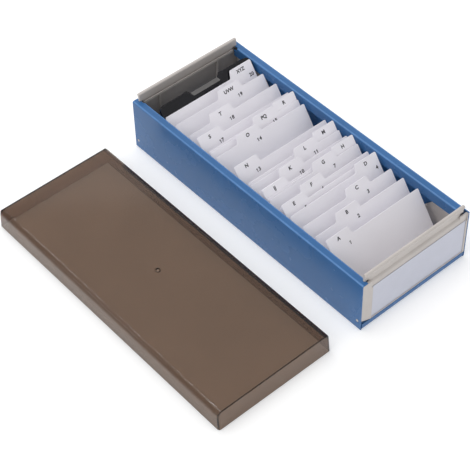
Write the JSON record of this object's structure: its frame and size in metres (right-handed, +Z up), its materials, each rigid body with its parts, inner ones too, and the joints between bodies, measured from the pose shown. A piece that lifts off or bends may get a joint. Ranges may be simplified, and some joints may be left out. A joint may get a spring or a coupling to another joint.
{
  "type": "business card file box",
  "caption": "Long folded steel tray with moulded end panels, leaning index dividers with stepped tabs, a sliding follower, a label card and a clear lift-off lid lying beside it.",
  "frame": {"origin": "middle of the tray's underside, on the table", "axes": "+X to the right seen from the label end, +Y along the tray from the label end to the rear, +Z up"},
  "size_m": [0.267, 0.2866, 0.0613],
  "materials": {
    "steel": "satin blue enamel",
    "ivory": "fine matt moulding",
    "label": "plain card, faintly blue",
    "divider": "white index card, matt",
    "black": "black moulding, half matt",
    "smoke": "clear smoke brown, glossy"
  },
  "bodies": {
    "box": {"tray": "steel", "front_panel": "ivory", "rear_panel": "ivory"},
    "label": {"label_card": "label"},
    "follower": {"follower": "black"},
    "lid": {"lid": "smoke"},
    "divider_01": {"divider_01": "divider"},
    "divider_02": {"divider_02": "divider"},
    "divider_03": {"divider_03": "divider"},
    "divider_04": {"divider_04": "divider"},
    "divider_05": {"divider_05": "divider"},
    "divider_06": {"divider_06": "divider"},
    "divider_07": {"divider_07": "divider"},
    "divider_08": {"divider_08": "divider"},
    "divider_09": {"divider_09": "divider"},
    "divider_10": {"divider_10": "divider"},
    "divider_11": {"divider_11": "divider"},
    "divider_12": {"divider_12": "divider"},
    "divider_13": {"divider_13": "divider"},
    "divider_14": {"divider_14": "divider"},
    "divider_15": {"divider_15": "divider"},
    "divider_16": {"divider_16": "divider"},
    "divider_17": {"divider_17": "divider"},
    "divider_18": {"divider_18": "divider"},
    "divider_19": {"divider_19": "divider"},
    "divider_20": {"divider_20": "divider"}
  },
  "joints": [
    {"name": "lid_lift", "type": "slide", "parent": "box", "child": "lid", "axis": [0, 0, 1], "range_m": [0, 0.08]},
    {"name": "label_draw", "type": "slide", "parent": "box", "child": "label", "axis": [0, 0, 1], "range_m": [0, 0.048]},
    {"name": "follower_slide", "type": "slide", "parent": "box", "child": "follower", "axis": [0, 1, 0], "range_m": [0, 0.017]},
    {"name": "divider_01_lift", "type": "slide", "parent": "box", "child": "divider_01", "axis": [0, 0.5807, 0.8141], "range_m": [0, 0.075]},
    {"name": "divider_02_lift", "type": "slide", "parent": "box", "child": "divider_02", "axis": [0, 0.5807, 0.8141], "range_m": [0, 0.075]},
    {"name": "divider_03_lift", "type": "slide", "parent": "box", "child": "divider_03", "axis": [0, 0.5807, 0.8141], "range_m": [0, 0.075]},
    {"name": "divider_04_lift", "type": "slide", "parent": "box", "child": "divider_04", "axis": [0, 0.5807, 0.8141], "range_m": [0, 0.075]},
    {"name": "divider_05_lift", "type": "slide", "parent": "box", "child": "divider_05", "axis": [0, 0.5807, 0.8141], "range_m": [0, 0.075]},
    {"name": "divider_06_lift", "type": "slide", "parent": "box", "child": "divider_06", "axis": [0, 0.5807, 0.8141], "range_m": [0, 0.075]},
    {"name": "divider_07_lift", "type": "slide", "parent": "box", "child": "divider_07", "axis": [0, 0.5807, 0.8141], "range_m": [0, 0.075]},
    {"name": "divider_08_lift", "type": "slide", "parent": "box", "child": "divider_08", "axis": [0, 0.5807, 0.8141], "range_m": [0, 0.075]},
    {"name": "divider_09_lift", "type": "slide", "parent": "box", "child": "divider_09", "axis": [0, 0.5807, 0.8141], "range_m": [0, 0.075]},
    {"name": "divider_10_lift", "type": "slide", "parent": "box", "child": "divider_10", "axis": [0, 0.5807, 0.8141], "range_m": [0, 0.075]},
    {"name": "divider_11_lift", "type": "slide", "parent": "box", "child": "divider_11", "axis": [0, 0.5807, 0.8141], "range_m": [0, 0.075]},
    {"name": "divider_12_lift", "type": "slide", "parent": "box", "child": "divider_12", "axis": [0, 0.5807, 0.8141], "range_m": [0, 0.075]},
    {"name": "divider_13_lift", "type": "slide", "parent": "box", "child": "divider_13", "axis": [0, 0.5807, 0.8141], "range_m": [0, 0.075]},
    {"name": "divider_14_lift", "type": "slide", "parent": "box", "child": "divider_14", "axis": [0, 0.5807, 0.8141], "range_m": [0, 0.075]},
    {"name": "divider_15_lift", "type": "slide", "parent": "box", "child": "divider_15", "axis": [0, 0.5807, 0.8141], "range_m": [0, 0.075]},
    {"name": "divider_16_lift", "type": "slide", "parent": "box", "child": "divider_16", "axis": [0, 0.5807, 0.8141], "range_m": [0, 0.075]},
    {"name": "divider_17_lift", "type": "slide", "parent": "box", "child": "divider_17", "axis": [0, 0.5807, 0.8141], "range_m": [0, 0.075]},
    {"name": "divider_18_lift", "type": "slide", "parent": "box", "child": "divider_18", "axis": [0, 0.5807, 0.8141], "range_m": [0, 0.075]},
    {"name": "divider_19_lift", "type": "slide", "parent": "box", "child": "divider_19", "axis": [0, 0.5807, 0.8141], "range_m": [0, 0.075]},
    {"name": "divider_20_lift", "type": "slide", "parent": "box", "child": "divider_20", "axis": [0, 0.5807, 0.8141], "range_m": [0, 0.075]}
  ]
}
